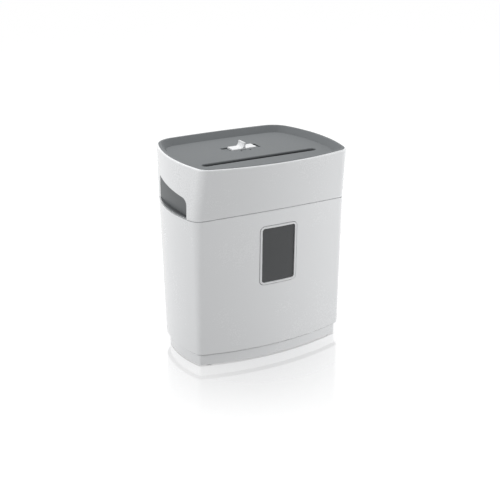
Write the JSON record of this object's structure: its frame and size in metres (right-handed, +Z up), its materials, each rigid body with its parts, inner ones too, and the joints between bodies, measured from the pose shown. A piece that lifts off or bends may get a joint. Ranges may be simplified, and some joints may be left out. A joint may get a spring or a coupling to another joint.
{
  "type": "paper shredder",
  "caption": "Paper shredder: a cutting head with a feed slot, slide switch and side grips lifts off a tapered waste bin with a window.",
  "frame": {"origin": "on the floor, under the middle of the machine", "axes": "+Z up, +Y to the back, +X to the right as seen from the front"},
  "size_m": [0.3142, 0.2417, 0.3615],
  "materials": {
    "white_shell": "smooth",
    "window_frame": "satin",
    "smoked_window": "clear, smoked",
    "rubber": "matte",
    "grey_plastic": "fine grain",
    "dark_plastic": "fine grain",
    "gear_nylon": "moulded",
    "steel": "machined",
    "brass": "turned",
    "magnet": "sintered",
    "board": "coated",
    "capacitor_sleeve": "sleeve"
  },
  "bodies": {
    "bin": {"bin_shell": "white_shell", "window_bezel": "window_frame", "window_pane": "smoked_window", "rubber_feet": "rubber"},
    "head": {"head_housing": "white_shell", "top_cover": "grey_plastic", "base_cover": "white_shell", "grip_right": "grey_plastic", "grip_left": "grey_plastic", "paper_throat": "dark_plastic", "lever_pin": "steel", "paper_sensor": "dark_plastic", "mode_switch": "dark_plastic", "frame_plate_left": "steel", "frame_plate_right": "steel", "tie_rods": "steel", "tie_rod_nuts": "steel", "shaft_bushes": "brass", "stripper_front": "dark_plastic", "stripper_rear": "dark_plastic", "gear_axles": "steel", "gear_cover": "dark_plastic", "gear_cover_screws": "steel", "motor_can": "steel", "motor_end_plate": "steel", "motor_magnets": "magnet", "motor_screws": "steel", "control_board": "board", "relay": "dark_plastic", "capacitor": "capacitor_sleeve", "terminal_block": "dark_plastic", "board_screws": "steel", "lock_switch": "dark_plastic", "cord_gland": "rubber", "case_screws": "steel", "frame_screws": "steel"},
    "mode_slider": {"mode_knob": "white_shell"},
    "motor_rotor": {"armature": "steel", "motor_pinion": "brass"},
    "first_double_gear": {"first_gear": "gear_nylon"},
    "second_double_gear": {"second_gear": "gear_nylon"},
    "rear_cylinder": {"rear_cutter": "steel", "drive_gear": "steel", "rear_sync_gear": "steel"},
    "front_cylinder": {"front_cutter": "steel", "front_sync_gear": "steel"},
    "paper_flap": {"paper_lever": "dark_plastic"},
    "interlock": {"lock_plunger": "dark_plastic"}
  },
  "joints": [
    {"name": "head_lift", "type": "slide", "parent": "bin", "child": "head", "axis": [0, 0, 1], "range_m": [0, 0.15]},
    {"name": "mode_slide", "type": "slide", "parent": "head", "child": "mode_slider", "axis": [1, 0, 0], "range_m": [-0.0135, 0.0075]},
    {"name": "motor_spin", "type": "hinge", "parent": "head", "child": "motor_rotor", "pos_m": [0.1166, 0.05612, 0.3027], "axis": [1, 0, 0], "continuous": true},
    {"name": "first_gear_spin", "type": "hinge", "parent": "head", "child": "first_double_gear", "pos_m": [0.1166, 0.03437, 0.29256], "axis": [1, 0, 0], "continuous": true},
    {"name": "second_gear_spin", "type": "hinge", "parent": "head", "child": "second_double_gear", "pos_m": [0.1166, 0.00687, 0.29256], "axis": [1, 0, 0], "continuous": true},
    {"name": "rear_cutter_spin", "type": "hinge", "parent": "head", "child": "rear_cylinder", "pos_m": [0.1166, -0.02675, 0.2955], "axis": [1, 0, 0], "continuous": true},
    {"name": "front_cutter_spin", "type": "hinge", "parent": "head", "child": "front_cylinder", "pos_m": [0.1166, -0.05525, 0.2955], "axis": [1, 0, 0], "continuous": true},
    {"name": "paper_lever_tilt", "type": "hinge", "parent": "head", "child": "paper_flap", "pos_m": [0, -0.028, 0.3315], "axis": [1, 0, 0], "range_deg": [0, 50]},
    {"name": "interlock_slide", "type": "slide", "parent": "head", "child": "interlock", "axis": [0, 0, 1], "range_m": [-0.003, 0]}
  ],
  "couplings": [
    {"joint": "first_gear_spin", "follows": "motor_spin", "ratio": -0.25},
    {"joint": "second_gear_spin", "follows": "motor_spin", "ratio": 0.077381},
    {"joint": "rear_cutter_spin", "follows": "motor_spin", "ratio": -0.027083},
    {"joint": "front_cutter_spin", "follows": "motor_spin", "ratio": 0.027083},
    {"joint": "interlock_slide", "follows": "head_lift", "ratio": -0.02}
  ]
}
